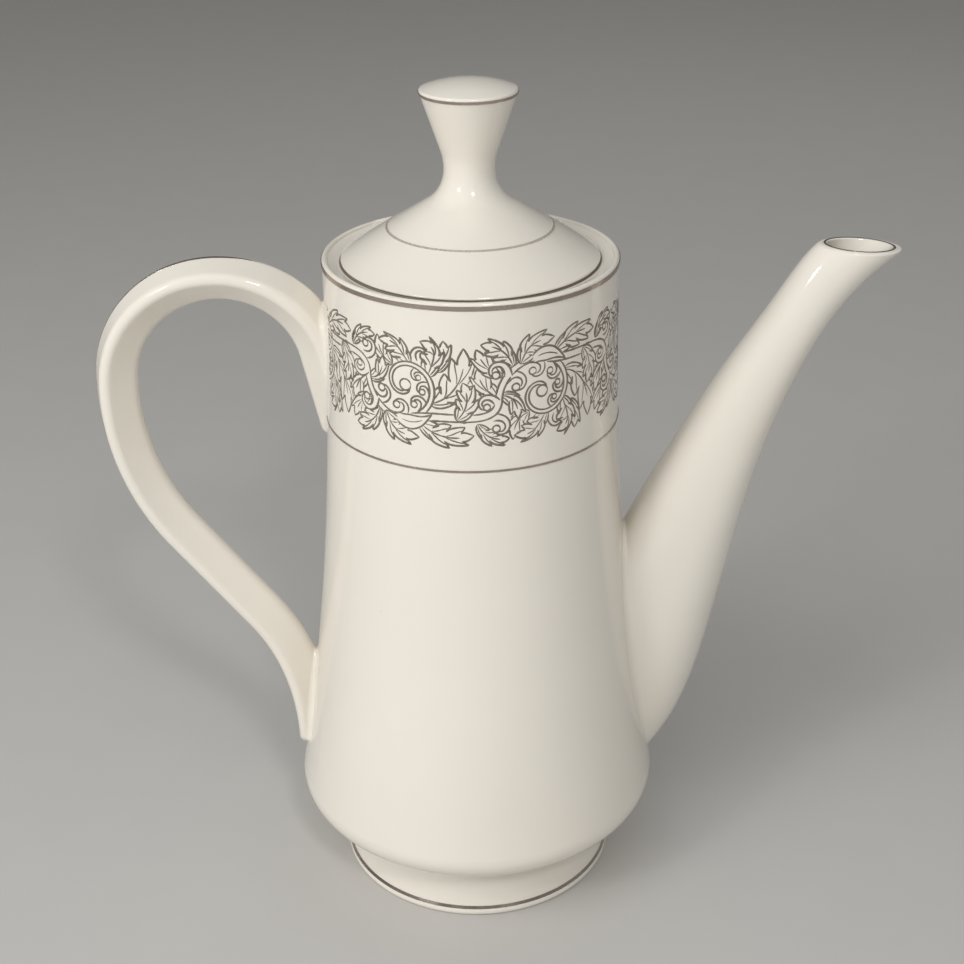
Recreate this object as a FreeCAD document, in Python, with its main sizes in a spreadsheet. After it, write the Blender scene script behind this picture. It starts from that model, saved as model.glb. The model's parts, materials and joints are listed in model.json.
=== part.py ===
import FreeCAD, Part
import math
import os
import Sketcher
from FreeCAD import Placement, Rotation, Vector

# A tall porcelain coffee pot: hollow body on a foot ring, long spout towards +X,
# ear-shaped handle towards -X, and a lift-off lid with a flared knob.
# The origin is on the pot's axis at the foot's resting face, and +Z is up.

doc = FreeCAD.newDocument("CoffeePot")
sheet = doc.addObject("Spreadsheet::Sheet", "Dimensions")

# Driving dimensions, in millimetres and degrees
sizes = {
    "neck_radius": 41.5,
    "neck_height": 194.0,
    "side_curve": 905.0,
    "belly_curve": 8.0,
    "belly_height": 31.0,
    "belly_turn": 45.0,
    "under_curve": 45.0,
    "trim_height": 25.0,
    "seat_radius": 38.0,
    "wall": 3.2,
    "floor": 3.6,
    "rim_height": 202.1,
    "rim_width": 1.69,
    "rim_curve": 0.85,
    "gallery_radius": 37.2,
    "ledge_radius": 33.9,
    "ledge_height": 200.45,
    "ledge_depth": 3.0,
    "pour_hole_radius": 8.0,
    "pour_hole_height": 62.0,
    "foot_radius": 42.7,
    "foot_lip_height": 2.6,
    "foot_lip_curve": 1.6,
    "foot_rest_outer": 41.7,
    "foot_rest_inner": 39.2,
    "foot_cove_curve": 26.0,
    "foot_inner_radius": 34.8,
    "foot_bevel_height": 5.0,
    "foot_overlap": 2.0,
    "spout_wall": 2.4,
    "handle_outer_spine": 6.29,
    "handle_inner_spine": 7.73,
    "handle_ridge_out": 3.0,
    "handle_half_depth": 10.4,
    "handle_outer_curve": 3.0,
    "handle_inner_curve": 4.0,
    "handle_ridge_curve": 2.2,
    "handle_tail_x": -51.5,
    "handle_tail_z": 42.0,
    "handle_tail_run": 2.5,
    "handle_tail_curve": 72.0,
    "handle_lean": 37.5,
    "handle_back_run": 34.6,
    "handle_back_curve": 73.0,
    "handle_back_turn": 42.8,
    "handle_top_curve": 31.2,
    "handle_top_turn": 81.3,
    "handle_root_curve": 28.4,
    "handle_root_turn": 81.0,
    "handle_root_run": 23.0,
    "stripe_half_angle": 16.0,
    "stripe_end_turn": 14.0,
    "lid_edge_curve": 0.7,
    "lid_slope": 32.4,
    "lid_shell": 2.8,
    "lid_collar_outer": 33.1,
    "lid_collar_inner": 30.8,
    "lid_collar_depth": 12.0,
    "lid_neck_curve": 10.9,
    "waist_radius": 7.1,
    "waist_height": 226.0,
    "knob_flare_curve": 16.0,
    "knob_flare": 19.0,
    "knob_radius": 13.4,
    "knob_edge_curve": 0.8,
    "knob_dome_curve": 38.0,
    "pot_height": 250.0,
    "line_thickness": 0.2,
    "rim_band_width": 1.2,
    "rim_band_height": 200.68,
    "neck_line_width": 0.6,
    "neck_line_height": 154.5,
    "foot_line_width": 0.8,
    "lid_line_width": 0.6,
    "lid_line_radius": 23.1,
    "knob_line_width": 0.75,
    "knob_line_height": 246.57,
    "spout_line_width": 0.8,
    "transfer_bottom": 159.0,
    "transfer_top": 196.5,
    "transfer_thickness": 0.12,
}

# Where the spout's upper and lower edges pass, as (x, z), and half its width across
spout_stations = {
    "root": ((30.0, 60.0), (50.0, 27.0), 9.0),
    "heel": ((34.0, 76.0), (62.2, 46.5), 12.5),
    "swell": ((40.0, 101.0), (73.6, 85.6), 14.0),
    "crotch": ((50.5, 125.0), (79.4, 114.4), 13.0),
    "stem": ((61.5, 145.9), (84.3, 136.0), 11.5),
    "neck": ((73.0, 166.2), (91.4, 158.0), 9.8),
    "throat": ((85.2, 185.6), (100.0, 177.3), 8.6),
    "lip": ((92.5, 196.7), (106.1, 186.9), 8.0),
    "brim": ((95.8, 200.7), (112.6, 194.5), 7.7),
    "mouth": ((98.4, 203.2), (121.1, 201.9), 7.6),
}
for name, (upper, lower, half_width) in spout_stations.items():
    sizes[f"spout_{name}_upper_x"], sizes[f"spout_{name}_upper_z"] = upper
    sizes[f"spout_{name}_lower_x"], sizes[f"spout_{name}_lower_z"] = lower
    sizes[f"spout_{name}_half_width"] = half_width
    sizes[f"spout_{name}_half_span"] = math.dist(upper, lower) / 2


def circle_across(centre, radius, height):
    """Inner crossing of a circle in the half plane with a level line."""
    return centre[0] - math.sqrt(radius**2 - (height - centre[1]) ** 2)


def arc_centre(start, finish, radius, side):
    """Centre of an arc between two points, on the left of the way for side +1."""
    chord = math.dist(start, finish)
    rise = side * math.sqrt(radius**2 - (chord / 2) ** 2) / chord
    return (
        (start[0] + finish[0]) / 2 - (finish[1] - start[1]) * rise,
        (start[1] + finish[1]) / 2 + (finish[0] - start[0]) * rise,
    )


def place(name, point):
    """Keeps a point of an outline as two cells, across and up."""
    sizes[name + "_x"], sizes[name + "_z"] = point


# The pot's side is one large hollow arc, then the belly and its underside are round
side_centre = (sizes["neck_radius"] + sizes["side_curve"], sizes["neck_height"])
belly_reach = sizes["side_curve"] + sizes["belly_curve"]
belly_centre = (circle_across(side_centre, belly_reach, sizes["belly_height"]), sizes["belly_height"])
turn = math.radians(sizes["belly_turn"])
under_step = sizes["under_curve"] - sizes["belly_curve"]
under_centre = (
    belly_centre[0] - under_step * math.cos(turn),
    belly_centre[1] + under_step * math.sin(turn),
)


def side_radius(height, outward=0.0):
    return circle_across(side_centre, sizes["side_curve"] - outward, height)


def pot_points(prefix, inward):
    """Joints of the side, belly and underside arcs, moved inwards by a wall."""
    belly = sizes["belly_curve"] - inward
    share = belly / belly_reach
    place(
        prefix + "_belly_top",
        [b + (s - b) * share for b, s in zip(belly_centre, side_centre)],
    )
    place(
        prefix + "_belly_low",
        (belly_centre[0] + belly * math.cos(turn), belly_centre[1] - belly * math.sin(turn)),
    )
    sizes[prefix + "_side_curve"] = sizes["side_curve"] + inward
    sizes[prefix + "_belly_curve"] = belly
    sizes[prefix + "_under_curve"] = sizes["under_curve"] - inward


def under_height(radius):
    return under_centre[1] - math.sqrt(sizes["under_curve"] ** 2 - (radius - under_centre[0]) ** 2)


pot_points("outer", 0.0)
pot_points("inner", sizes["wall"])
sizes["base_height"] = under_height(sizes["seat_radius"])
sizes["floor_height"] = sizes["base_height"] + sizes["floor"]
inner_under = sizes["under_curve"] - sizes["wall"]
floor_drop = under_centre[1] - sizes["floor_height"]
sizes["floor_radius"] = under_centre[0] + math.sqrt(inner_under**2 - floor_drop**2)
rim_drop = math.sqrt(sizes["rim_curve"] ** 2 - (sizes["rim_width"] / 2) ** 2)
rim_shoulder = sizes["rim_height"] - sizes["rim_curve"] + rim_drop
place("rim_outer", (side_radius(rim_shoulder), rim_shoulder))
place("rim_inner", (side_radius(rim_shoulder) - sizes["rim_width"], rim_shoulder))
ledge_under = sizes["ledge_height"] - sizes["ledge_depth"]
sizes["ledge_under"] = ledge_under
neck_bore = circle_across(side_centre, sizes["inner_side_curve"], ledge_under)
sizes["ledge_slope_low"] = ledge_under - (neck_bore - sizes["ledge_radius"])
sizes["neck_bore"] = circle_across(side_centre, sizes["inner_side_curve"], sizes["ledge_slope_low"])

sizes["trim_radius"] = side_radius(sizes["trim_height"])

# The foot reaches a little into the belly, whose underside then trims it
sizes["foot_top"] = sizes["base_height"] + sizes["foot_overlap"]

# The lid's cone runs down from its neck arc to a round edge, which rests on the ledge
slope = math.radians(sizes["lid_slope"])
neck_swing = math.pi / 2 - slope
lid_neck = (
    sizes["waist_radius"] + sizes["lid_neck_curve"] * (1 - math.cos(neck_swing)),
    sizes["waist_height"] - sizes["lid_neck_curve"] * math.sin(neck_swing),
)
place("lid_neck", lid_neck)


def cone_height(radius, inward=0.0):
    return lid_neck[1] - (radius - lid_neck[0]) * math.tan(slope) - inward / math.cos(slope)


edge_top = sizes["ledge_height"] + sizes["lid_edge_curve"] * (1 + math.cos(slope))
edge_start = lid_neck[0] + (lid_neck[1] - edge_top) / math.tan(slope)
place("lid_edge", (edge_start, edge_top))
sizes["lid_rest_radius"] = edge_start - sizes["lid_edge_curve"] * math.sin(slope)
sizes["lid_collar_bottom"] = sizes["ledge_height"] - sizes["lid_collar_depth"]
sizes["lid_under_rim"] = cone_height(sizes["lid_collar_inner"], sizes["lid_shell"])
place("lid_crown", (lid_neck[0], cone_height(lid_neck[0], sizes["lid_shell"])))

# The knob flares from the waist to a thin edge under a shallow dome
flare = math.radians(sizes["knob_flare"])
flare_foot = (
    sizes["waist_radius"] + sizes["knob_flare_curve"] * (1 - math.cos(flare)),
    sizes["waist_height"] + sizes["knob_flare_curve"] * math.sin(flare),
)
place("knob_flare_foot", flare_foot)
dome_centre = sizes["pot_height"] - sizes["knob_dome_curve"]
knob_edge = (
    sizes["knob_radius"],
    flare_foot[1] + (sizes["knob_radius"] - flare_foot[0]) / math.tan(flare),
)
place("knob_edge", knob_edge)
dome_edge = sizes["knob_radius"] - sizes["knob_edge_curve"] / 2
place("knob_dome", (dome_edge, dome_centre + math.sqrt(sizes["knob_dome_curve"] ** 2 - dome_edge**2)))

# The handle's centre line, walked from the lower tail up, over and down into the wall
heading = math.radians(90.0)
walk = [(sizes["handle_tail_x"], sizes["handle_tail_z"])]
walk_headings = [heading]


def go_straight(run):
    x, z = walk[-1]
    walk.append((x + run * math.cos(heading), z + run * math.sin(heading)))
    walk_headings.append(heading)


def round_end(radius, degrees):
    """Where a bend from the walk's last point ends, and its heading there; left is positive."""
    side = math.copysign(radius, degrees)
    x, z = walk[-1]
    after = heading + math.radians(degrees)
    end = (
        x + side * (math.sin(after) - math.sin(heading)),
        z - side * (math.cos(after) - math.cos(heading)),
    )
    return end, after


def go_round(radius, degrees):
    global heading
    end, heading = round_end(radius, degrees)
    walk.append(end)
    walk_headings.append(heading)


go_straight(sizes["handle_tail_run"])
go_round(sizes["handle_tail_curve"], sizes["handle_lean"])
go_straight(sizes["handle_back_run"])
stripe_start = len(walk) - 1
go_round(sizes["handle_back_curve"], -sizes["handle_back_turn"])
go_round(sizes["handle_top_curve"], -sizes["handle_top_turn"])
stripe_last = len(walk) - 1
stripe_end, _ = round_end(sizes["handle_root_curve"], -sizes["stripe_end_turn"])
go_round(sizes["handle_root_curve"], -sizes["handle_root_turn"])
go_straight(sizes["handle_root_run"])
for number, point in enumerate(walk):
    place(f"handle_joint_{number}", point)
place("stripe_end", stripe_end)


def round_corner(corner, *ends, radius):
    """Where a rounded corner touches its two sides, which lead from it to the ends."""
    ways = []
    for end in ends:
        length = math.dist(corner, end)
        ways.append(((end[0] - corner[0]) / length, (end[1] - corner[1]) / length))
    opening = math.acos(ways[0][0] * ways[1][0] + ways[0][1] * ways[1][1])
    cut = radius / math.tan(opening / 2)
    return [(corner[0] + cut * way[0], corner[1] + cut * way[1]) for way in ways]


# The section is a kite: its two ridges lie nearer the loop's outside
outer_spine = (-sizes["handle_outer_spine"], 0.0)
inner_spine = (sizes["handle_inner_spine"], 0.0)
ridges = {
    face: (-sizes["handle_ridge_out"], way * sizes["handle_half_depth"])
    for face, way in (("front", -1), ("back", 1))
}
for face, ridge in ridges.items():
    touches = round_corner(ridge, outer_spine, inner_spine, radius=sizes["handle_ridge_curve"])
    place(f"ridge_outer_{face}", touches[0])
    place(f"ridge_inner_{face}", touches[1])
for end, spine in (("outer", outer_spine), ("inner", inner_spine)):
    touches = round_corner(spine, ridges["front"], ridges["back"], radius=sizes[f"handle_{end}_curve"])
    place(f"spine_{end}_front", touches[0])
    place(f"spine_{end}_back", touches[1])

# The stripe lies on the rounded outer spine, so both share that arc's centre
outer_rise = sizes["handle_outer_spine"] - sizes["handle_ridge_out"]
outer_slant = sizes["handle_half_depth"] / math.hypot(outer_rise, sizes["handle_half_depth"])
spine_centre = sizes["handle_outer_curve"] / outer_slant - sizes["handle_outer_spine"]
stripe_angle = math.radians(sizes["stripe_half_angle"])
for layer, radius in (
    ("low", sizes["handle_outer_curve"]),
    ("high", sizes["handle_outer_curve"] + sizes["line_thickness"]),
):
    sizes[f"stripe_{layer}_curve"] = radius
    for face, way in (("front", -1), ("back", 1)):
        place(
            f"stripe_{layer}_{face}",
            (spine_centre - radius * math.cos(stripe_angle), way * radius * math.sin(stripe_angle)),
        )


def line_cells(name, low, high):
    """Ends of a platinum line on its host's outline, and the same ends a little proud of it."""
    width = math.dist(low, high)
    proud = sizes["line_thickness"] / width
    outward = ((high[1] - low[1]) * proud, (low[0] - high[0]) * proud)
    for end, point in (("low", low), ("high", high)):
        place(f"{name}_{end}", point)
        place(f"{name}_{end}_out", (point[0] + outward[0], point[1] + outward[1]))


def across_line(name, middle, along):
    """Puts a line's two ends either side of its middle, along its host's outline."""
    half = sizes[name + "_width"] / 2
    line_cells(
        name,
        (middle[0] - along[0] * half, middle[1] - along[1] * half),
        (middle[0] + along[0] * half, middle[1] + along[1] * half),
    )


for name in ("rim_band", "neck_line"):
    ends = [sizes[f"{name}_height"] + way * sizes[f"{name}_width"] / 2 for way in (-1, 1)]
    line_cells(name, *((side_radius(height), height) for height in ends))
cove_start = (sizes["foot_radius"], sizes["foot_lip_height"])
cove_centre = arc_centre(
    cove_start, (sizes["seat_radius"], sizes["foot_top"]), sizes["foot_cove_curve"], -1
)
foot_line_top = sizes["foot_lip_height"] + sizes["foot_line_width"]
line_cells(
    "foot_line",
    cove_start,
    (circle_across(cove_centre, sizes["foot_cove_curve"], foot_line_top), foot_line_top),
)
across_line(
    "lid_line",
    (sizes["lid_line_radius"], cone_height(sizes["lid_line_radius"])),
    (-math.cos(slope), math.sin(slope)),
)
knob_line_radius = flare_foot[0] + (sizes["knob_line_height"] - flare_foot[1]) * math.tan(flare)
across_line(
    "knob_line",
    (knob_line_radius, sizes["knob_line_height"]),
    (math.sin(flare), math.cos(flare)),
)

# The transfer print follows the neck
for height in ("bottom", "top"):
    for layer, lift in (("low", 0.0), ("high", sizes["transfer_thickness"])):
        sizes[f"transfer_{height}_{layer}"] = side_radius(sizes[f"transfer_{height}"], lift)
sizes["transfer_curve"] = sizes["side_curve"] - sizes["transfer_thickness"]

for row, (name, size) in enumerate(sizes.items(), start=1):
    sheet.set(f"A{row}", name)
    sheet.set(f"B{row}", f"{size:.9f}")
    sheet.setAlias(f"B{row}", name)
doc.recompute()


def plane_of(body, role):
    return next(part for part in body.Origin.OriginFeatures if part.Role == role)


def new_sketch(body, name, role, offset=None):
    sketch = body.newObject("Sketcher::SketchObject", name)
    sketch.AttachmentSupport = [(plane_of(body, role), "")]
    sketch.MapMode = "FlatFace"
    if offset is not None:
        sketch.AttachmentOffset = offset
    return sketch


def bind(sketch, constraint, formula):
    index = sketch.addConstraint(constraint)
    sketch.setExpression(f"Constraints[{index}]", formula)


def hold(sketch, kind, axis, curve, end, cell):
    """Fixes one coordinate of a curve's end to a cell, or to an axis where the cell is None."""
    if cell is None:
        sketch.addConstraint(Sketcher.Constraint("PointOnObject", curve, end, axis))
    elif sizes[cell] >= 0:
        bind(sketch, Sketcher.Constraint(kind, -1, 1, curve, end, sizes[cell]), f"Dimensions.{cell}")
    else:
        bind(sketch, Sketcher.Constraint(kind, curve, end, -1, 1, -sizes[cell]), f"-Dimensions.{cell}")


def draw_outline(sketch, corners, closed=True):
    """Draws lines and arcs through corners of (x cell, y cell, arc radius cell, arc side).

    The arc leads from its corner to the next one, and its side is +1 where its
    centre lies on the left of that way and -1 where it lies on the right.
    """
    points = [Vector(*(0 if cell is None else sizes[cell] for cell in corner[:2]), 0) for corner in corners]
    spans = len(corners) if closed else len(corners) - 1
    ends = []
    for index in range(spans):
        start = points[index]
        finish = points[(index + 1) % len(points)]
        if len(corners[index]) == 2:
            curve = sketch.addGeometry(Part.LineSegment(start, finish))
            ends.append((curve, 1, 2))
            continue
        radius_cell, side = corners[index][2:]
        radius = sizes[radius_cell]
        centre = Vector(*arc_centre(start[:2], finish[:2], radius, side), 0)
        first, second = (start, finish) if side > 0 else (finish, start)
        angles = [math.atan2(point.y - centre.y, point.x - centre.x) for point in (first, second)]
        circle = Part.Circle(centre, Vector(0, 0, 1), radius)
        curve = sketch.addGeometry(Part.ArcOfCircle(circle, *angles))
        ends.append((curve, 1, 2) if side > 0 else (curve, 2, 1))
        bind(sketch, Sketcher.Constraint("Radius", curve, radius), f"Dimensions.{radius_cell}")
    for index, (curve, start, finish) in enumerate(ends):
        hold(sketch, "DistanceX", -2, curve, start, corners[index][0])
        hold(sketch, "DistanceY", -1, curve, start, corners[index][1])
        if index + 1 < spans or closed:
            after, after_start, _ = ends[(index + 1) % spans]
            sketch.addConstraint(Sketcher.Constraint("Coincident", curve, finish, after, after_start))
        else:
            hold(sketch, "DistanceX", -2, curve, finish, corners[-1][0])
            hold(sketch, "DistanceY", -1, curve, finish, corners[-1][1])


def turned(body, name, corners, kind="PartDesign::Revolution"):
    """Turns a half outline about the pot's axis."""
    sketch = new_sketch(body, name + "_outline", "YZ_Plane")
    draw_outline(sketch, corners)
    feature = body.newObject(kind, name + "_turned")
    feature.Profile = sketch
    feature.ReferenceAxis = (sketch, ["V_Axis"])
    feature.Angle = 360
    doc.recompute()
    return feature


def new_body(label):
    body = doc.addObject("PartDesign::Body", label)
    body.Label = label
    return body


def cut_away(label, base, *tools):
    """Leaves what of a blank lies outside its neighbours."""
    for number, tool in enumerate(tools, start=1):
        result = doc.addObject("Part::Cut", f"{label}_cut_{number}")
        result.Base = base
        result.Tool = tool
        base = result
    base.Label = label
    doc.recompute()
    return base


# Pot body
pot_outside = [
    (None, "base_height"),
    ("seat_radius", "base_height", "outer_under_curve", 1),
    ("outer_belly_low_x", "outer_belly_low_z", "outer_belly_curve", 1),
    ("outer_belly_top_x", "outer_belly_top_z", "outer_side_curve", -1),
    ("rim_outer_x", "rim_outer_z", "rim_curve", 1),
    ("rim_inner_x", "rim_inner_z"),
]
pot_cavity = [
    (None, "floor_height"),
    ("floor_radius", "floor_height", "inner_under_curve", 1),
    ("inner_belly_low_x", "inner_belly_low_z", "inner_belly_curve", 1),
    ("inner_belly_top_x", "inner_belly_top_z", "inner_side_curve", -1),
    ("neck_bore", "ledge_slope_low"),
    ("ledge_radius", "ledge_under"),
    ("ledge_radius", "ledge_height"),
    ("gallery_radius", "ledge_height"),
    ("rim_inner_x", "rim_inner_z"),
    (None, "rim_inner_z"),
]
pot_body = new_body("pot_body")
turned(pot_body, "pot", pot_outside + [(None, "rim_inner_z")])
full_volume = pot_body.Shape.Volume
turned(pot_body, "cavity", pot_cavity, "PartDesign::Groove")
walled_volume = pot_body.Shape.Volume
pour_sketch = new_sketch(pot_body, "pour_hole_outline", "YZ_Plane")
pour_circle = pour_sketch.addGeometry(
    Part.Circle(Vector(0, sizes["pour_hole_height"], 0), Vector(0, 0, 1), sizes["pour_hole_radius"])
)
hold(pour_sketch, "DistanceX", -2, pour_circle, 3, None)
hold(pour_sketch, "DistanceY", -1, pour_circle, 3, "pour_hole_height")
bind(
    pour_sketch,
    Sketcher.Constraint("Radius", pour_circle, sizes["pour_hole_radius"]),
    "Dimensions.pour_hole_radius",
)
pour_hole = pot_body.newObject("PartDesign::Pocket", "pour_hole")
pour_hole.Profile = pour_sketch
pour_hole.Reversed = True
pour_hole.setExpression("Length", "Dimensions.outer_belly_top_x + Dimensions.wall")
doc.recompute()
if not full_volume > walled_volume > pot_body.Shape.Volume:
    raise RuntimeError("the pot's cavity or pour hole cut nothing")

# The pot's outside as one plain solid, which trims the foot
pot_form = new_body("pot_form")
turned(pot_form, "form", pot_outside + [(None, "rim_inner_z")])

# The pot's side alone, carried on below the belly, which trims the spout and the handle
side_form = new_body("side_form")
turned(
    side_form,
    "side",
    [
        (None, "trim_height"),
        ("trim_radius", "trim_height", "side_curve", -1),
        ("rim_outer_x", "rim_outer_z"),
        (None, "rim_outer_z"),
    ],
)

# Foot ring
foot_blank = new_body("foot_blank")
turned(
    foot_blank,
    "foot",
    [
        ("foot_rest_inner", None),
        ("foot_rest_outer", None, "foot_lip_curve", 1),
        ("foot_radius", "foot_lip_height", "foot_cove_curve", -1),
        ("seat_radius", "foot_top"),
        ("foot_inner_radius", "foot_top"),
        ("foot_inner_radius", "foot_bevel_height"),
    ],
)
foot_ring = cut_away("foot_ring", foot_blank, pot_form)


# Spout
SKIN_STEPS = 12


def spout_points(name):
    upper = Vector(sheet.get(f"spout_{name}_upper_x"), 0, sheet.get(f"spout_{name}_upper_z"))
    lower = Vector(sheet.get(f"spout_{name}_lower_x"), 0, sheet.get(f"spout_{name}_lower_z"))
    return upper, lower


def spout_skin(inset, side):
    """The front or back half of the tube through every station's oval, moved inwards."""
    steps = [math.pi * step / SKIN_STEPS for step in range(SKIN_STEPS + 1)]
    rows = []
    for name in spout_stations:
        upper, lower = spout_points(name)
        down = (lower - upper).normalize() * (sheet.get(f"spout_{name}_half_span") - inset)
        across = Vector(0, side * (sheet.get(f"spout_{name}_half_width") - inset), 0)
        middle = (upper + lower) / 2
        rows.append([middle + down * math.cos(angle) + across * math.sin(angle) for angle in steps])
    surface = Part.BSplineSurface()
    surface.interpolate(rows)
    return surface


def end_wire(skins, last):
    """The oval where both halves of a tube end."""
    edges = []
    for skin in skins:
        first_row, last_row, _, _ = skin.bounds()
        edges.append(skin.uIso(last_row if last else first_row).toShape())
    return Part.Wire(Part.__sortEdges__(edges))


outside = [spout_skin(0.0, side) for side in (1, -1)]
channel = [spout_skin(sheet.get("spout_wall"), side) for side in (1, -1)]
ends = [
    Part.makeFace([end_wire(outside, last), end_wire(channel, last)], "Part::FaceMakerBullseye")
    for last in (False, True)
]
spout_shell = Part.Shell([skin.toShape() for skin in outside + channel] + ends)
spout_shell.sewShape()
spout_solid = Part.makeSolid(spout_shell)
if spout_solid.Volume < 0:
    spout_solid.reverse()
spout_tube = doc.addObject("Part::Feature", "spout_tube")
spout_tube.Shape = spout_solid
spout_tube.Placement = Placement()
spout = cut_away("spout", spout_tube, side_form)


# Handle
def swept(body, name, path_corners, offset, section_corners):
    """Sweeps a section along a path that lies in the pot's middle plane."""
    path = new_sketch(body, name + "_path", "XZ_Plane")
    draw_outline(path, path_corners, closed=False)
    section = new_sketch(body, name + "_section", "XY_Plane", offset)
    draw_outline(section, section_corners)
    doc.recompute()
    pipe = body.newObject("PartDesign::AdditivePipe", name + "_swept")
    pipe.Profile = section
    pipe.Spine = path
    doc.recompute()
    return pipe


def square_to_path(point, path_heading):
    return Placement(
        Vector(point[0], 0, point[1]),
        Rotation(Vector(0, 1, 0), 90 - math.degrees(path_heading)),
    )


handle_bends = {
    1: ("handle_tail_curve", 1),
    3: ("handle_back_curve", -1),
    4: ("handle_top_curve", -1),
    5: ("handle_root_curve", -1),
}
handle_path = [
    (f"handle_joint_{number}_x", f"handle_joint_{number}_z", *handle_bends.get(number, ()))
    for number in range(len(walk))
]
handle_section = [
    ("ridge_inner_front_x", "ridge_inner_front_z"),
    ("spine_inner_front_x", "spine_inner_front_z", "handle_inner_curve", 1),
    ("spine_inner_back_x", "spine_inner_back_z"),
    ("ridge_inner_back_x", "ridge_inner_back_z", "handle_ridge_curve", 1),
    ("ridge_outer_back_x", "ridge_outer_back_z"),
    ("spine_outer_back_x", "spine_outer_back_z", "handle_outer_curve", 1),
    ("spine_outer_front_x", "spine_outer_front_z"),
    ("ridge_outer_front_x", "ridge_outer_front_z", "handle_ridge_curve", 1),
]
handle_blank = new_body("handle_blank")
swept(handle_blank, "handle", handle_path, square_to_path(walk[0], walk_headings[0]), handle_section)
handle = cut_away("handle", handle_blank, side_form)

# Stripe along the handle's outer spine
stripe_body = new_body("handle_platinum_stripe")
stripe_path = handle_path[stripe_start : stripe_last + 1] + [("stripe_end_x", "stripe_end_z")]
swept(
    stripe_body,
    "stripe",
    stripe_path,
    square_to_path(walk[stripe_start], walk_headings[stripe_start]),
    [
        ("stripe_low_back_x", "stripe_low_back_z", "stripe_low_curve", 1),
        ("stripe_low_front_x", "stripe_low_front_z"),
        ("stripe_high_front_x", "stripe_high_front_z", "stripe_high_curve", -1),
        ("stripe_high_back_x", "stripe_high_back_z"),
    ],
)

# Lid
lid_cover = new_body("lid_cover")
turned(
    lid_cover,
    "lid",
    [
        (None, "lid_crown_z"),
        ("lid_crown_x", "lid_crown_z"),
        ("lid_collar_inner", "lid_under_rim"),
        ("lid_collar_inner", "lid_collar_bottom"),
        ("lid_collar_outer", "lid_collar_bottom"),
        ("lid_collar_outer", "ledge_height"),
        ("lid_rest_radius", "ledge_height", "lid_edge_curve", 1),
        ("lid_edge_x", "lid_edge_z"),
        ("lid_neck_x", "lid_neck_z", "lid_neck_curve", -1),
        ("waist_radius", "waist_height"),
        (None, "waist_height"),
    ],
)

# Knob
lid_knob = new_body("lid_knob")
turned(
    lid_knob,
    "knob",
    [
        (None, "waist_height"),
        ("waist_radius", "waist_height", "knob_flare_curve", -1),
        ("knob_flare_foot_x", "knob_flare_foot_z"),
        ("knob_edge_x", "knob_edge_z", "knob_edge_curve", 1),
        ("knob_dome_x", "knob_dome_z", "knob_dome_curve", 1),
        (None, "pot_height"),
    ],
)


# Platinum lines: thin bands that stand a little proud of the glaze
def platinum_line(label, cells, *host_curve):
    """A band between the two ends of a line, on a host that is straight or curved there."""
    body = new_body(label)
    turned(
        body,
        cells,
        [
            (cells + "_low_x", cells + "_low_z", *host_curve),
            (cells + "_high_x", cells + "_high_z"),
            (cells + "_high_out_x", cells + "_high_out_z"),
            (cells + "_low_out_x", cells + "_low_out_z"),
        ],
    )
    return body


rim_band = platinum_line("rim_platinum_band", "rim_band", "side_curve", -1)
neck_line_blank = platinum_line("neck_line_blank", "neck_line", "side_curve", -1)
neck_line = cut_away("neck_platinum_line", neck_line_blank, handle_blank)
foot_line = platinum_line("foot_platinum_line", "foot_line", "foot_cove_curve", -1)
lid_line = platinum_line("lid_platinum_line", "lid_line")
knob_line = platinum_line("knob_platinum_line", "knob_line")


# Line on the spout's lip: a flat oval ring round the mouth
def mouth_plate(side, inset):
    upper, lower = spout_points("mouth")
    tilt = math.degrees(math.atan2(upper.z - lower.z, lower.x - upper.x))
    oval = doc.addObject("Part::Ellipse", f"spout_line_{side}")
    oval.setExpression("MajorRadius", f"Dimensions.spout_mouth_half_span - ({inset})")
    oval.setExpression("MinorRadius", f"Dimensions.spout_mouth_half_width - ({inset})")
    oval.Placement = Placement((upper + lower) / 2, Rotation(Vector(0, 1, 0), tilt))
    plate = doc.addObject("Part::Extrusion", f"spout_line_{side}_plate")
    plate.Base = oval
    plate.DirMode = "Normal"
    plate.setExpression("LengthFwd", "Dimensions.line_thickness")
    plate.Solid = True
    doc.recompute()
    return plate


spout_line = cut_away(
    "spout_platinum_line",
    mouth_plate("edge", "Dimensions.spout_wall - Dimensions.spout_line_width"),
    mouth_plate("bore", "Dimensions.spout_wall"),
)

# Printed scroll transfer round the neck, with room for the handle's root
transfer_blank = new_body("transfer_blank")
turned(
    transfer_blank,
    "transfer",
    [
        ("transfer_bottom_low", "transfer_bottom", "side_curve", -1),
        ("transfer_top_low", "transfer_top"),
        ("transfer_top_high", "transfer_top", "transfer_curve", 1),
        ("transfer_bottom_high", "transfer_bottom"),
    ],
)
transfer = cut_away("scroll_transfer_band", transfer_blank, handle_blank)

pieces = [
    pot_body,
    foot_ring,
    spout,
    handle,
    lid_cover,
    lid_knob,
    rim_band,
    neck_line,
    foot_line,
    lid_line,
    knob_line,
    spout_line,
    stripe_body,
    transfer,
]

doc.recompute()
for item in doc.Objects:
    if "Invalid" in item.State or "Error" in item.State:
        raise RuntimeError(f"{item.Label} failed: {item.State}")
for piece in pieces:
    if piece.Shape.isNull() or not piece.Shape.isValid() or not piece.Shape.Solids:
        raise RuntimeError(f"{piece.Label} has no valid solid")

os.makedirs("parts", exist_ok=True)
for piece in pieces:
    piece.Shape.exportStep(f"parts/{piece.Label}.step")
    box = piece.Shape.optimalBoundingBox()
    print(
        f"{piece.Label}: {len(piece.Shape.Solids)} solid, {piece.Shape.Volume:.1f} mm3,",
        f"x {box.XMin:.1f} to {box.XMax:.1f}, z {box.ZMin:.1f} to {box.ZMax:.1f}",
    )
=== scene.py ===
import json
import math

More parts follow.
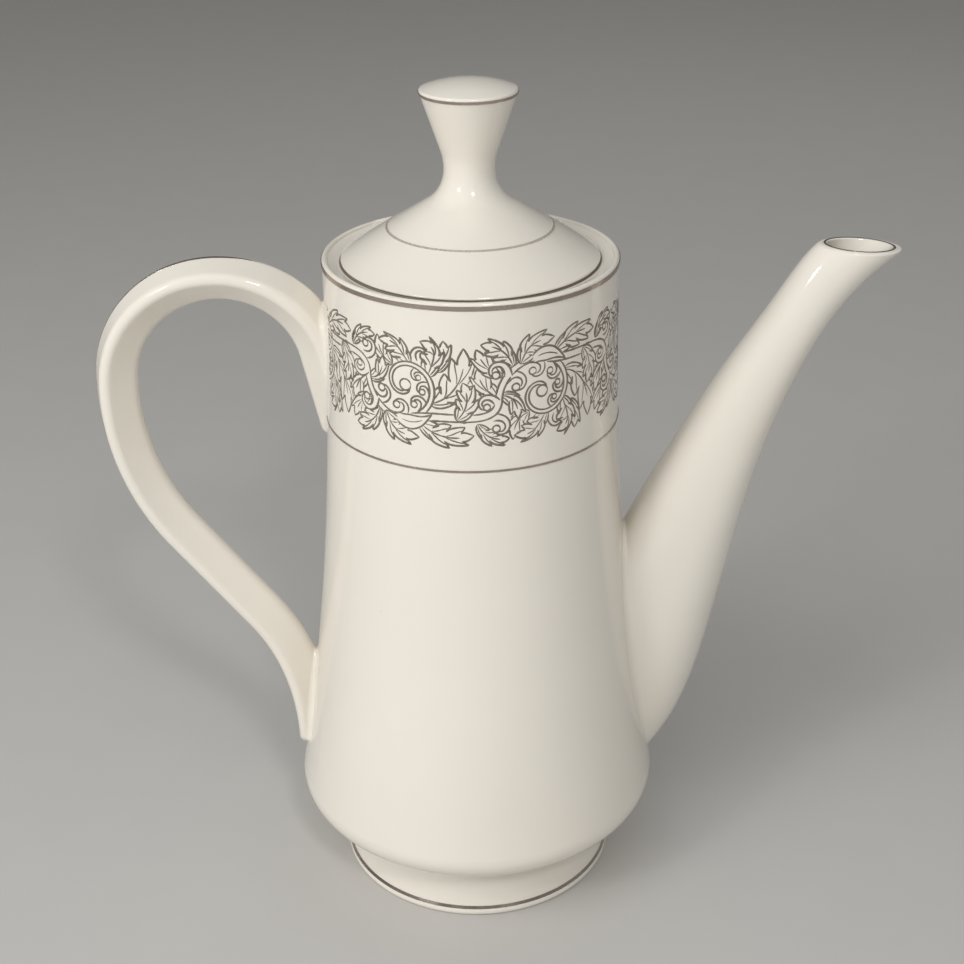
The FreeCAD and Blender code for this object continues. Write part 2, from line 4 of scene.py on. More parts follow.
import bpy
import numpy as np
from mathutils import Euler, Matrix, Vector


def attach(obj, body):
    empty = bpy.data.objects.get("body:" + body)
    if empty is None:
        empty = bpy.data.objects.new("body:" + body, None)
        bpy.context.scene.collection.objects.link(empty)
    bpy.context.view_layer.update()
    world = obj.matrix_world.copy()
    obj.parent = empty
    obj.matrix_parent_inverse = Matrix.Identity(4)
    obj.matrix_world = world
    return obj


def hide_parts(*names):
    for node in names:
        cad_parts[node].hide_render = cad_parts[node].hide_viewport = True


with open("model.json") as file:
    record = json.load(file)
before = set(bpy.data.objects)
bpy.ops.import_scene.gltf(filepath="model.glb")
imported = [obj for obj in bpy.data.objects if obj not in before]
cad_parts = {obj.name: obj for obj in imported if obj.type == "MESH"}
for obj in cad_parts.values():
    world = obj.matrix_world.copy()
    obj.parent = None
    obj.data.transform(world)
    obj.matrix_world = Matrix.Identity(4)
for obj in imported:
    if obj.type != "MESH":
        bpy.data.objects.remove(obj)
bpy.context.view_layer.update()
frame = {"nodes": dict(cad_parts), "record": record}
mm = 0.001
print("frame loaded,", len(frame["nodes"]), "nodes")

# camera
camera = {
    "place": (0.0, -427.2, 346.1),  # mm, in front of the pot and a little above its knob
    "tilt": 63.17,  # degrees up from straight down
    "turn": -0.34,
    "lean": -0.60,  # the photograph is turned by this much
    "lens": 59.75,
    "sensor": 36.0,
    "clip": 0.01,  # m
}
bpy.ops.object.select_all(action="DESELECT")
bpy.ops.object.camera_add()
cameraObject = bpy.context.object
cameraObject.name = "studioCamera"
cameraObject.data.sensor_width = camera["sensor"]
cameraObject.data.lens = camera["lens"]
cameraObject.data.clip_start = camera["clip"]
look = Euler((math.radians(camera["tilt"]), 0, math.radians(camera["turn"]))).to_matrix().to_4x4()
lean = Matrix.Rotation(math.radians(camera["lean"]), 4, "Z")
cameraObject.matrix_world = Matrix.Translation([v * mm for v in camera["place"]]) @ look @ lean
bpy.context.scene.camera = cameraObject


# materials
def linear(hexColour):
    channels = [int(hexColour[i : i + 2], 16) / 255 for i in (1, 3, 5)]
    return [c / 12.92 if c <= 0.04045 else ((c + 0.055) / 1.055) ** 2.4 for c in channels] + [1.0]


def addNode(tree, kind, inputs=None, **settings):
    node = tree.nodes.new(kind)
    for name, value in settings.items():
        setattr(node, name, value)
    for name, value in (inputs or {}).items():
        if isinstance(value, bpy.types.NodeSocket):
            tree.links.new(value, node.inputs[name])
        else:
            node.inputs[name].default_value = value
    return node


def newMaterial(name):
    material = bpy.data.materials.new(name)
    material.use_nodes = True
    material.node_tree.nodes.clear()
    return material, material.node_tree


def perMetre(sizeMm):  # noise scale whose features are about this many millimetres across
    return 1 / (sizeMm * mm)


noiseSpread = {"From Min": 0.3, "From Max": 0.7}  # most of a noise texture's values lie between these


# Glazed hard porcelain: a warm white body under a clear gloss glaze that ripples a little, with a dark ring
# of painted shade in the crevice where the lid sits
porcelain = {
    "white": "#ECE7DD",
    "cream": "#E3DCCF",
    "speck": "#A79B8B",
    "cloud": 60.0,  # mm, drift of the tone over the pot
    "gloss": (0.07, 0.13),  # roughness, least and most
    "speckGap": 14.0,  # mm
    "speckReach": (0.008, 0.016),  # shares of that gap, full and gone
    "speckStrength": 0.55,
    "ripple": 9.0,  # mm, slow waves of the glaze
    "peel": 1.6,  # mm, fine texture of the glaze
    "peelShare": 0.12,  # its height, as a share of the waves'
    "waveHeight": 0.2,  # mm
    "waveStrength": 0.25,
    "creviceShade": "#6E6055",  # painted crevice shade: a dark ring painted where the lid sits on its ledge
    "creviceShadePlace": (36.3, 200.7),  # mm, radius and height of that painted shade ring
    "creviceShadeReach": (0.3, 0.6),  # mm from there, full and gone
    "creviceShadeStrength": 0.9,
}


def makePorcelain():
    material, tree = newMaterial("glazedPorcelain")
    place = addNode(tree, "ShaderNodeTexCoord").outputs["Object"]
    cloud = addNode(
        tree, "ShaderNodeTexNoise", {"Vector": place, "Scale": perMetre(porcelain["cloud"]), "Detail": 3.0}
    )
    tone = addNode(
        tree,
        "ShaderNodeMix",
        {"Factor": cloud.outputs["Fac"], 6: linear(porcelain["white"]), 7: linear(porcelain["cream"])},
        data_type="RGBA",
    )
    dots = addNode(tree, "ShaderNodeTexVoronoi", {"Vector": place, "Scale": perMetre(porcelain["speckGap"])})
    full, gone = porcelain["speckReach"]
    near = addNode(
        tree,
        "ShaderNodeMapRange",
        {
            "Value": dots.outputs["Distance"],
            "From Min": full,
            "From Max": gone,
            "To Min": porcelain["speckStrength"],
            "To Max": 0.0,
        },
    )
    speckled = addNode(
        tree,
        "ShaderNodeMix",
        {"Factor": near.outputs["Result"], 6: tone.outputs[2], 7: linear(porcelain["speck"])},
        data_type="RGBA",
    )
    # the painted crevice shade is a ring about the axis, found by radius and height
    axes = addNode(tree, "ShaderNodeSeparateXYZ", {"Vector": place}).outputs
    flat = addNode(tree, "ShaderNodeCombineXYZ", {"X": axes["X"], "Y": axes["Y"]})
    radius = addNode(tree, "ShaderNodeVectorMath", {0: flat.outputs["Vector"]}, operation="LENGTH")
    turned = addNode(tree, "ShaderNodeCombineXYZ", {"X": radius.outputs["Value"], "Z": axes["Z"]})
    creviceRadius, creviceHeight = porcelain["creviceShadePlace"]
    away = addNode(
        tree,
        "ShaderNodeVectorMath",
        {0: turned.outputs["Vector"], 1: (creviceRadius * mm, 0, creviceHeight * mm)},
        operation="DISTANCE",
    )
    full, gone = porcelain["creviceShadeReach"]
    creviceShade = addNode(
        tree,
        "ShaderNodeMapRange",
        {
            "Value": away.outputs["Value"],
            "From Min": full * mm,
            "From Max": gone * mm,
            "To Min": porcelain["creviceShadeStrength"],
            "To Max": 0.0,
        },
    )
    # darkens the colour with the painted crevice shade
    withCreviceShade = addNode(
        tree,
        "ShaderNodeMix",
        {"Factor": creviceShade.outputs["Result"], 6: speckled.outputs[2], 7: linear(porcelain["creviceShade"])},
        data_type="RGBA",
    )
    ripple = addNode(
        tree, "ShaderNodeTexNoise", {"Vector": place, "Scale": perMetre(porcelain["ripple"]), "Detail": 1.0}
    )
    peel = addNode(
        tree, "ShaderNodeTexNoise", {"Vector": place, "Scale": perMetre(porcelain["peel"]), "Detail": 2.0}
    )
    height = addNode(
        tree,
        "ShaderNodeMath",
        {0: peel.outputs["Fac"], 1: porcelain["peelShare"], 2: ripple.outputs["Fac"]},
        operation="MULTIPLY_ADD",
    )
    bump = addNode(
        tree,
        "ShaderNodeBump",
        {
            "Height": height.outputs["Value"],
            "Strength": porcelain["waveStrength"],
            "Distance": porcelain["waveHeight"] * mm,
        },
    )
    least, most = porcelain["gloss"]
    gloss = addNode(
        tree,
        "ShaderNodeMapRange",
        {"Value": cloud.outputs["Fac"], "To Min": least, "To Max": most, **noiseSpread},
    )
    shader = addNode(
        tree,
        "ShaderNodeBsdfPrincipled",
        {
            "Base Color": withCreviceShade.outputs[2],
            "Roughness": gloss.outputs["Result"],
            "Normal": bump.outputs["Normal"],
            "IOR": 1.5,
        },
    )
    addNode(tree, "ShaderNodeOutputMaterial", {"Surface": shader.outputs["BSDF"]})
    return material


# Fired platinum lustre, brushed on by hand: a thin grey-brown mirror that wears towards the glaze.
# The lid's hairline is so thin that the white of the glaze shows through it.
platinum = {
    "platinumLustre": {"bright": "#CBBFB5", "dark": "#A6998E", "metallic": 1.0},
    "platinumHairline": {"bright": "#EEE6DD", "dark": "#D6CCC2", "metallic": 0.6},
    "stroke": 5.0,  # mm, drift of the brush
    "gloss": (0.18, 0.34),  # roughness, least and most
    "grain": 0.7,  # mm
    "grainHeight": 0.05,  # mm
    "grainStrength": 0.2,
}


def makePlatinum(name):
    look = platinum[name]
    material, tree = newMaterial(name)
    place = addNode(tree, "ShaderNodeTexCoord").outputs["Object"]
    stroke = addNode(
        tree, "ShaderNodeTexNoise", {"Vector": place, "Scale": perMetre(platinum["stroke"]), "Detail": 4.0}
    )
    tone = addNode(
        tree,
        "ShaderNodeMix",
        {"Factor": stroke.outputs["Fac"], 6: linear(look["dark"]), 7: linear(look["bright"])},
        data_type="RGBA",
    )
    grain = addNode(
        tree, "ShaderNodeTexNoise", {"Vector": place, "Scale": perMetre(platinum["grain"]), "Detail": 2.0}
    )
    least, most = platinum["gloss"]
    rough = addNode(
        tree,
        "ShaderNodeMapRange",
        {"Value": stroke.outputs["Fac"], "To Min": least, "To Max": most, **noiseSpread},
    )
    bump = addNode(
        tree,
        "ShaderNodeBump",
        {
            "Height": grain.outputs["Fac"],
            "Strength": platinum["grainStrength"],
            "Distance": platinum["grainHeight"] * mm,
        },
    )
    shader = addNode(
        tree,
        "ShaderNodeBsdfPrincipled",
        {
            "Base Color": tone.outputs[2],
            "Roughness": rough.outputs["Result"],
            "Normal": bump.outputs["Normal"],
            "Metallic": look["metallic"],
        },
    )
    addNode(tree, "ShaderNodeOutputMaterial", {"Surface": shader.outputs["BSDF"]})
    return material


# Printed ceramic transfer, fired into the glaze: taupe grey lines, a little uneven like any print
printing = {
    "ink": "#766C63",
    "thin": "#8F857A",
    "patch": 4.0,  # mm, how often the ink thins
    "gloss": (0.22, 0.4),  # roughness, least and most
    "metallic": 0.25,  # the ink has a little lustre
}


def makePrint():
    material, tree = newMaterial("firedTransferPrint")
    place = addNode(tree, "ShaderNodeTexCoord").outputs["Object"]
    patch = addNode(
        tree, "ShaderNodeTexNoise", {"Vector": place, "Scale": perMetre(printing["patch"]), "Detail": 5.0}
    )
    tone = addNode(
        tree,
        "ShaderNodeMix",
        {"Factor": patch.outputs["Fac"], 6: linear(printing["ink"]), 7: linear(printing["thin"])},
        data_type="RGBA",
    )
    least, most = printing["gloss"]
    rough = addNode(
        tree,
        "ShaderNodeMapRange",
        {"Value": patch.outputs["Fac"], "To Min": least, "To Max": most, **noiseSpread},
    )
    shader = addNode(
        tree,
        "ShaderNodeBsdfPrincipled",
        {
            "Base Color": tone.outputs[2],
            "Roughness": rough.outputs["Result"],
            "Metallic": printing["metallic"],
        },
    )
    addNode(tree, "ShaderNodeOutputMaterial", {"Surface": shader.outputs["BSDF"]})
    return material


finishes = {
    "white_porcelain": makePorcelain(),
    "platinum_lustre": makePlatinum("platinumLustre"),
    "scroll_transfer": makePrint(),
}
for part in frame["record"]["subparts"]:
    mesh = frame["nodes"][part["node"]].data
    mesh.materials.clear()
    mesh.materials.append(finishes[part["material_slot"]])
frame["nodes"]["lid_platinum_line"].data.materials[0] = makePlatinum("platinumHairline")
print("materials made")


# shared shaping
# The pot's side is one hollow arc turned about the axis, sizes in mm
potSide = {"neckRadius": 41.5, "neckHeight": 194.0, "curve": 905.0}


def wallGap(points):  # how far points are out from the pot's side
    across = np.hypot(points[..., 0], points[..., 1]) - potSide["neckRadius"] - potSide["curve"]
    return potSide["curve"] - np.hypot(across, points[..., 2] - potSide["neckHeight"])


def wallNormal(points):  # outwards from the pot's side
    radius = np.hypot(points[..., 0], points[..., 1])
    out = potSide["neckRadius"] + potSide["curve"] - radius
    up = potSide["neckHeight"] - points[..., 2]
    reach = np.hypot(out, up)
    x = points[..., 0] / radius * out / reach
    y = points[..., 1] / radius * out / reach
    return np.stack([x, y, up / reach], -1)


def sideRadius(height):  # of the pot's side at a height
    rise = height - potSide["neckHeight"]
    return potSide["neckRadius"] + potSide["curve"] - np.sqrt(potSide["curve"] ** 2 - rise**2)


searchSteps = 700  # tries along a surface to find where it meets the wall
wayNudge = 0.01  # mm, step by which a surface's slope is found
turnNudge = 0.001  # radians, the same round a section
filletSkirt = (0.8, 0.12)  # mm, how far a fillet's last row runs on along the wall and into it
leastAngle = 0.001  # radians, keeps a flat corner from dividing by nothing
leastLength = 1e-9
mergeReach = 1e-6  # m


def unit(vectors):
    return vectors / np.maximum(np.linalg.norm(vectors, axis=-1, keepdims=True), leastLength)


def meetWall(surface, normals, steps, ballRadius):
    # rolls a ball along the corner between a surface and the pot's side, one column at a time
    points = surface(steps)
    gaps = wallGap(points + normals(steps) * ballRadius[:, None]) - ballRadius
    first = np.argmax(gaps < 0, axis=0)
    columns = np.arange(gaps.shape[1])
    before, after = gaps[first - 1, columns], gaps[first, columns]
    share = before / (before - after)
    return steps[first - 1, columns] + share * (steps[first, columns] - steps[first - 1, columns])


def filletRows(touch, normal, ballRadius, count):
    # the rounded corner from a surface's touching points down to the wall, with its last row sunk in
    radius = ballRadius[:, None]
    middle = touch + normal * radius
    start, finish = -normal, -wallNormal(middle)
    angle = np.arccos(np.clip((start * finish).sum(-1, keepdims=True), -1, 1))
    angle = np.maximum(angle, leastAngle)
    rows = []
    for step in range(1, count + 1):
        share = step / count
        arm = (np.sin((1 - share) * angle) * start + np.sin(share * angle) * finish) / np.sin(angle)
        rows.append(middle + arm * radius)
    along = unit(finish * np.cos(angle) - start)
    runOn, sunk = filletSkirt
    rows.append(rows[-1] + along * runOn + finish * sunk)
    return rows


def gridSkin(name, rows):
    # a grid primitive whose vertices are laid along rows of points in mm, with its seam merged
    rows = np.array(rows) * mm
    bpy.ops.object.select_all(action="DESELECT")
    bpy.ops.mesh.primitive_grid_add(x_subdivisions=rows.shape[1] - 1, y_subdivisions=rows.shape[0] - 1)
    skin = bpy.context.object
    skin.name = name
    skin.data.vertices.foreach_set("co", rows.reshape(-1))
    skin.data.update()
    bpy.ops.object.mode_set(mode="EDIT")
    bpy.ops.mesh.select_all(action="SELECT")
    bpy.ops.mesh.remove_doubles(threshold=mergeReach)
    bpy.ops.object.mode_set(mode="OBJECT")
    bpy.ops.object.shade_smooth()
    return skin


def dress(piece, slot, body, node):
    piece.data.materials.clear()
    piece.data.materials.append(finishes[slot])
    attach(piece, body)
    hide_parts(node)


# spout
spout = {
    # upper edge (x, z), lower edge (x, z) and half width of each oval, mm
    "ovals": [
        (30.0, 60.0, 50.0, 27.0, 9.0),
        (34.0, 76.0, 62.2, 46.5, 12.5),
        (40.0, 101.0, 73.6, 85.6, 14.0),
        (50.5, 125.0, 79.4, 114.4, 13.0),
        (61.5, 145.9, 84.3, 136.0, 11.5),
        (73.0, 166.2, 91.4, 158.0, 9.8),
        (85.2, 185.6, 100.0, 177.3, 8.6),
        (92.1, 197.0, 106.1, 186.9, 8.0),
        (95.1, 201.1, 112.6, 194.5, 7.7),
        (97.3, 203.4, 121.1, 201.9, 7.6),
    ],
    # power of the section's waves at the root and at the mouth: 1 is an oval, and less is squarer
    "upperSquare": (0.55, 1.0),
    "lowerSquare": (0.9, 1.0),
    "mouthWall": (3.5, 2.4, 2.0),  # mm, at the mouth's beak, its top and its sides
    "wall": 2.4,  # mm, further down
    "taper": 20.0,  # mm from the mouth, over which the wall changes
    "lipCurve": (1.4, 1.2, 0.9),  # mm, at the beak, the sides and the top
    "boreCurve": 0.4,
    "blend": (1.4, 3.2, 0.6),  # ball radius under, beside and over the root
    "blendSearch": 0.85,  # share of the length from which the root is looked for
    "sunk": 1.2,  # mm, how far the bore's end goes into the pot's wall
    "around": 96,
    "along": 120,
    "blendRows": 10,
    "lipRows": 10,
    "boreRows": 5,
}
# platinum line on the lip, from and to these distances from where it turns down into the bore, mm
lipLine = {"reach": (0.75, 0.05), "proud": 0.05, "sunk": 0.2, "across": 6}


def smoothThrough(knots, values):
    # natural cubic curve through values at knots
    knots, values = np.array(knots), np.array(values)
    count = len(knots)
    gaps = np.diff(knots)
    left, right = np.eye(count), np.zeros_like(values)
    for i in range(1, count - 1):
        left[i, i - 1 : i + 2] = gaps[i - 1], 2 * (gaps[i - 1] + gaps[i]), gaps[i]
        right[i] = 3 * ((values[i + 1] - values[i]) / gaps[i] - (values[i] - values[i - 1]) / gaps[i - 1])
    bend = np.linalg.solve(left, right)

    def at(where):
        i = np.clip(np.searchsorted(knots, where) - 1, 0, count - 2)
        h = gaps[i][..., None]
        d = (where - knots[i])[..., None]
        slope = (values[i + 1] - values[i]) / h - h * (2 * bend[i] + bend[i + 1]) / 3
        return values[i] + d * (slope + d * (bend[i] + d * (bend[i + 1] - bend[i]) / (3 * h)))

    return at


def spoutCurves():
    ovals = np.array(spout["ovals"])
    middles = (ovals[:, :2] + ovals[:, 2:4]) / 2
    knots = np.concatenate([[0], np.cumsum(np.linalg.norm(np.diff(middles, axis=0), axis=1))])
    return smoothThrough(knots, ovals), knots[-1]


ovalAt, spoutEnd = spoutCurves()
spoutAngles = np.linspace(0, 2 * math.pi, spout["around"] + 1)  # 0 is the lower edge
spoutMouth = np.full_like(spoutAngles, spoutEnd)
spoutRise = (1 - np.cos(spoutAngles)) / 2  # 0 at the lower edge, 1 at the upper one
lipCurve = np.interp(spoutRise, (0, 0.5, 1), spout["lipCurve"])


def powered(wave, power):  # squares a wave up and keeps its sign
    return np.sign(wave) * np.abs(wave) ** power


def spoutSkin(where, bore=False, turn=0.0):
    # points round the outside, or round the bore, at distances along the spout
    oval = ovalAt(where)
    upperPower = np.interp(where, (0, spoutEnd), spout["upperSquare"])
    lowerPower = np.interp(where, (0, spoutEnd), spout["lowerSquare"])
    power = np.where(np.cos(spoutAngles + turn) < 0, upperPower, lowerPower)
    around, deep = (powered(wave(spoutAngles + turn), power) for wave in (np.cos, np.sin))
    upper, lower, half = oval[..., :2], oval[..., 2:4], oval[..., 4]
    if bore:
        far = np.minimum((spoutEnd - where) / spout["taper"], 1)
        beak, top, side = (near + (spout["wall"] - near) * far for near in spout["mouthWall"])
        way = unit(lower - upper)
        upper, lower, half = upper + way * top[..., None], lower - way * beak[..., None], half - side
    flat = (upper + lower) / 2 + (lower - upper) / 2 * around[..., None]
    return np.stack([flat[..., 0], half * deep, flat[..., 1]], -1)


def spoutAround(where):  # way round the outside
    return (spoutSkin(where, turn=turnNudge) - spoutSkin(where, turn=-turnNudge)) / (2 * turnNudge)


def spoutAlong(where, bore=False):  # way along it
    return (spoutSkin(where, bore) - spoutSkin(where - wayNudge, bore)) / wayNudge


def spoutNormals(where):
    return unit(np.cross(spoutAround(where), spoutAlong(where)))


def lipRow(degrees, lift=0.0):
    # a ring of the rounded lip, turned from the outside (0) over to the mouth (90)
    turn = np.radians(degrees + 0 * spoutAngles)[:, None]
    edge = spoutSkin(spoutMouth)
    outward = unit(spoutAlong(spoutMouth))
    inward = unit(spoutSkin(spoutMouth, bore=True) - edge)
    row = edge + lipCurve[:, None] * (inward * (1 - np.cos(turn)) - outward * (1 - np.sin(turn)))
    way = outward * np.cos(turn) + inward * np.sin(turn)
    return row + lift * unit(np.cross(spoutAround(spoutMouth), way))


def boreRow(degrees):
    # a ring of the mouth's inner edge, turned from the mouth (0) over to the bore (90)
    turn = math.radians(degrees)
    bore = spoutSkin(spoutMouth, bore=True)
    inward = unit(bore - spoutSkin(spoutMouth))
    down = -unit(spoutAlong(spoutMouth, bore=True))
    return bore + spout["boreCurve"] * (down * (1 - math.cos(turn)) - inward * (1 - math.sin(turn)))


def makeSpout():
    # from the fillet at the wall along the outside, over the lip and back down the bore
    ball = np.interp(spoutRise, (0, 0.5, 1), spout["blend"])
    search = np.linspace(spout["blendSearch"] * spoutEnd, 0.0, searchSteps)[:, None] + 0 * spoutAngles
    start = meetWall(spoutSkin, spoutNormals, search, ball)
    rows = filletRows(spoutSkin(start), spoutNormals(start), ball, spout["blendRows"])[::-1]
    stop = spoutEnd - lipCurve / np.linalg.norm(spoutAlong(spoutMouth), axis=-1)
    for step in np.linspace(0, 1, spout["along"] + 1)[:-1]:
        rows.append(spoutSkin(start + (stop - start) * step))
    rows += [lipRow(degrees) for degrees in np.linspace(0, 90, spout["lipRows"])]
    rows += [boreRow(degrees) for degrees in np.linspace(0, 90, spout["boreRows"])]
    stop = spoutEnd - spout["boreCurve"] / np.linalg.norm(spoutAlong(spoutMouth, bore=True), axis=-1)
    search = np.linspace(spoutEnd, 0.0, searchSteps)[:, None] + 0 * spoutAngles
    sunk = np.argmax(wallGap(spoutSkin(search, bore=True)) < -spout["sunk"], axis=0)
    last = search[sunk, np.arange(len(spoutAngles))]
    for step in np.linspace(0, 1, spout["along"] // 2 + 1)[1:]:
        rows.append(spoutSkin(stop + (last - stop) * step, bore=True))
    return gridSkin("spoutShell", rows)


def makeLipLine():
    outside, bore = spoutSkin(spoutMouth), spoutSkin(spoutMouth, bore=True)
    level = np.linalg.norm(bore - outside, axis=-1) - lipCurve - spout["boreCurve"]  # flat part of the lip
    inward = unit(bore - outside)

    def ring(out, lift):  # round the lip, this far out from the bore
        turn = np.arccos(np.clip((out - level) / lipCurve, 0, 1))
        return lipRow(np.degrees(turn), lift) + inward * np.maximum(level - out, 0)[:, None]

    reach = np.linspace(*lipLine["reach"], lipLine["across"])
    rows = [ring(out, lipLine["proud"]) for out in reach]
    rows += [ring(out, -lipLine["sunk"]) for out in reach[::-1]]
    return gridSkin("lipPlatinumLine", rows + rows[:1])


spoutShell = makeSpout()
dress(spoutShell, "white_porcelain", "pot", "spout")
lipPlatinumLine = makeLipLine()
dress(lipPlatinumLine, "platinum_lustre", "pot", "spout_platinum_line")
print("spout made,", len(spoutShell.data.polygons), "faces")

# handle
handle = {
    "tail": (-51.5, 42.0),  # mm, start of the centre line at the belly
    # mm from there to the tongue's end at its spine, and how much further at its ridges
    "tailEnd": (-0.8, 9.0),
    # runs as (length, 0) and bends as (radius, degrees to the left)
    "route": [(2.5, 0), (72.0, 37.5), (34.6, 0), (73.0, -42.8), (31.2, -81.3), (28.4, -81.0), (23.0, 0)],
    # sharp corners of the kite section, mm from the centre line
    "outerSpine": 6.29,
    "innerSpine": 7.73,
    "ridgeOut": 3.0,
    "halfDepth": 10.4,
    "outerCurve": 3.0,
    "innerCurve": 4.0,
    "ridgeCurve": 2.2,
    "noseCurve": 1.8,  # where either end turns into the wall
    "lowBlend": (0.6, 1.6),  # ball radius at the spines and at the ridges, at the belly
    "highBlend": (0.5, 1.6),  # and at the neck
    "flare": (183.9, 211.9, 1.4),  # mm along, between which the outside grows, and its growth
    "tongue": (45.0, 0.36, 1.3, 0.9),  # mm from the tail, widening, ridges out and spine in, mm
    "rootSearch": 95.0,  # mm from either end, within which the handle meets the wall
    "past": 14.0,  # mm beyond either end
    "along": 200,
    "blendRows": 8,
    "spineRows": (6, 12),  # round half the outer spine, and round the inner one
    "ridgeRows": 12,
    "facetRows": 8,
}
# platinum stripe on the handle's outer spine, with tapering ends
stripe = {
    "from": 83.9,  # mm along the handle
    "to": 196.0,
    "taper": 12.0,
    "halfWidth": 0.65,
    "proud": 0.06,
    "sunk": 0.25,
    "across": 8,
    "along": 120,
}


def walkRoute(where):
    # centre line point (x, z) and heading at distances along the route, and its whole length
    x, z = handle["tail"]
    heading = math.pi / 2
    done = 0.0
    px, pz, ph = np.zeros_like(where), np.zeros_like(where), np.full_like(where, heading)
    for size, degrees in handle["route"]:
        bend = math.radians(degrees)
        length = size * abs(bend) if degrees else size
        part = np.clip(where - done, 0, length)
        here = (where >= done) if done else np.ones_like(where, bool)
        if degrees:
            side = math.copysign(size, degrees)
            after = heading + part / side
            nx = x + side * (np.sin(after) - math.sin(heading))
            nz = z - side * (np.cos(after) - math.cos(heading))
        else:
            after = np.full_like(where, heading)
            nx = x + part * math.cos(heading)
            nz = z + part * math.sin(heading)
        px, pz, ph = np.where(here, nx, px), np.where(here, nz, pz), np.where(here, after, ph)
        if degrees:
            x += side * (math.sin(heading + bend) - math.sin(heading))
            z -= side * (math.cos(heading + bend) - math.cos(heading))
        else:
            x += size * math.cos(heading)
            z += size * math.sin(heading)
        heading += bend
        done += length
    return px, pz, ph, done


handleLength = walkRoute(np.zeros(1))[3]
depthWay = np.array([0, 1.0, 0])


def kiteSection():
    # points across (towards the loop's inside), along the depth, and the facing angle of each
    leanOut = math.atan2(handle["outerSpine"] - handle["ridgeOut"], handle["halfDepth"])
    leanIn = math.atan2(handle["innerSpine"] + handle["ridgeOut"], handle["halfDepth"])
    outer = handle["outerCurve"] / math.cos(leanOut) - handle["outerSpine"]
    inner = handle["innerSpine"] - handle["innerCurve"] / math.cos(leanIn)
    front = [math.pi + leanOut, 2 * math.pi - leanIn]  # facing of the two front facets
    facets = np.array([[math.cos(a), math.sin(a)] for a in front])
    ridge = np.array([-handle["ridgeOut"], -handle["halfDepth"]])
    ridge = ridge - np.linalg.solve(facets, np.full(2, handle["ridgeCurve"]))
    back = [2 * math.pi + leanIn, 3 * math.pi - leanOut]
    outerRows, innerRows = handle["spineRows"]
    corners = [
        ((outer, 0), handle["outerCurve"], math.pi, front[0], outerRows),
        (ridge, handle["ridgeCurve"], *front, handle["ridgeRows"]),
        ((inner, 0), handle["innerCurve"], front[1], back[0], innerRows),
        (ridge * (1, -1), handle["ridgeCurve"], *back, handle["ridgeRows"]),
        ((outer, 0), handle["outerCurve"], back[1], 3 * math.pi, outerRows),
    ]
    points = []
    for (cx, cy), radius, first, last, count in corners:
        turns = np.linspace(first, last, count + 1)
        arc = [(cx + radius * math.cos(a), cy + radius * math.sin(a), a) for a in turns]
        if points:  # the flat facet that leads here
            begin = points[-1]
            for share in np.linspace(0, 1, handle["facetRows"])[1:-1]:
                points.append(tuple(b + (e - b) * share for b, e in zip(begin, arc[0])))
        points += arc
    return np.array(points)


def handleFrame(where, depth):
    # centre and way to the loop's inside at distances along the handle
    nose = handle["noseCurve"]
    atSpine, further = handle["tailEnd"]
    inside = np.clip(where, atSpine + further * (depth / handle["halfDepth"]) ** 2, handleLength)
    x, z, heading = walkRoute(inside)[:3]
    past = np.abs(where - inside)  # beyond either end the section turns into the wall
    turn = np.minimum(past / nose, math.pi / 2)
    ahead = np.sign(where - inside)
    inward = nose * (1 - np.cos(turn)) + np.maximum(past - nose * math.pi / 2, 0)
    way = np.stack([np.cos(heading), np.zeros_like(heading), np.sin(heading)], -1)
    right = np.stack([np.sin(heading), np.zeros_like(heading), -np.cos(heading)], -1)
    centre = np.stack([x + inward, np.zeros_like(x), z], -1) + way * (nose * np.sin(turn) * ahead)[..., None]
    return centre, right


def ease(share):  # from 0 to 1 with level ends
    share = np.clip(share, 0, 1)
    return share * share * (3 - 2 * share)


def handleSkin(where, across, depth):
    # the outer half grows taller towards the neck, and flattens to a broad tongue at the tail
    first, last, growth = handle["flare"]
    over, widening, ridgesOut, spineIn = handle["tongue"]
    taller = ease((where - first) / (last - first)) * growth / (handle["outerSpine"] - handle["ridgeOut"])
    flatter = ease(1 - where / over)
    outer = np.minimum(across + handle["ridgeOut"], 0)
    fromSpine = np.abs(depth) / handle["halfDepth"]
    across = across + outer * taller + flatter * np.where(outer < 0, spineIn * (1 - fromSpine), 0)
    across = across - flatter * ridgesOut * fromSpine
    centre, right = handleFrame(where, depth)
    depth = depth * (1 + flatter * widening)
    return centre + right * across[..., None] + depthWay * depth[..., None]


def handleNormals(where, across, depth, facing):
    turnIn, turnDeep = -np.sin(facing) * wayNudge, np.cos(facing) * wayNudge
    onward = handleSkin(where, across + turnIn, depth + turnDeep)
    backward = handleSkin(where, across - turnIn, depth - turnDeep)
    along = handleSkin(where + wayNudge, across, depth) - handleSkin(where - wayNudge, across, depth)
    return unit(np.cross(onward - backward, along))


def makeHandle():
    # from the fillet on the belly round the loop to the fillet on the neck
    across, depth, facing = kiteSection().T

    def skin(where):
        return handleSkin(where, across, depth)

    def normals(where):
        return handleNormals(where, across, depth, facing)

    def reachWall(first, last, ball):
        search = np.linspace(first, last, 2 * searchSteps)[:, None] + 0 * across
        return meetWall(skin, normals, search, ball)

    lowBall = np.interp(np.abs(depth), (0, handle["halfDepth"]), handle["lowBlend"])
    highBall = np.interp(np.abs(depth), (0, handle["halfDepth"]), handle["highBlend"])
    low = reachWall(handle["rootSearch"], -handle["past"], lowBall)
    high = reachWall(handleLength - handle["rootSearch"], handleLength + handle["past"], highBall)
    rows = filletRows(skin(low), normals(low), lowBall, handle["blendRows"])[::-1]
    for step in np.linspace(0, 1, handle["along"] + 1):
        rows.append(skin(low + (high - low) * step))
    rows += filletRows(skin(high), normals(high), highBall, handle["blendRows"])
    return gridSkin("handleLoop", rows)


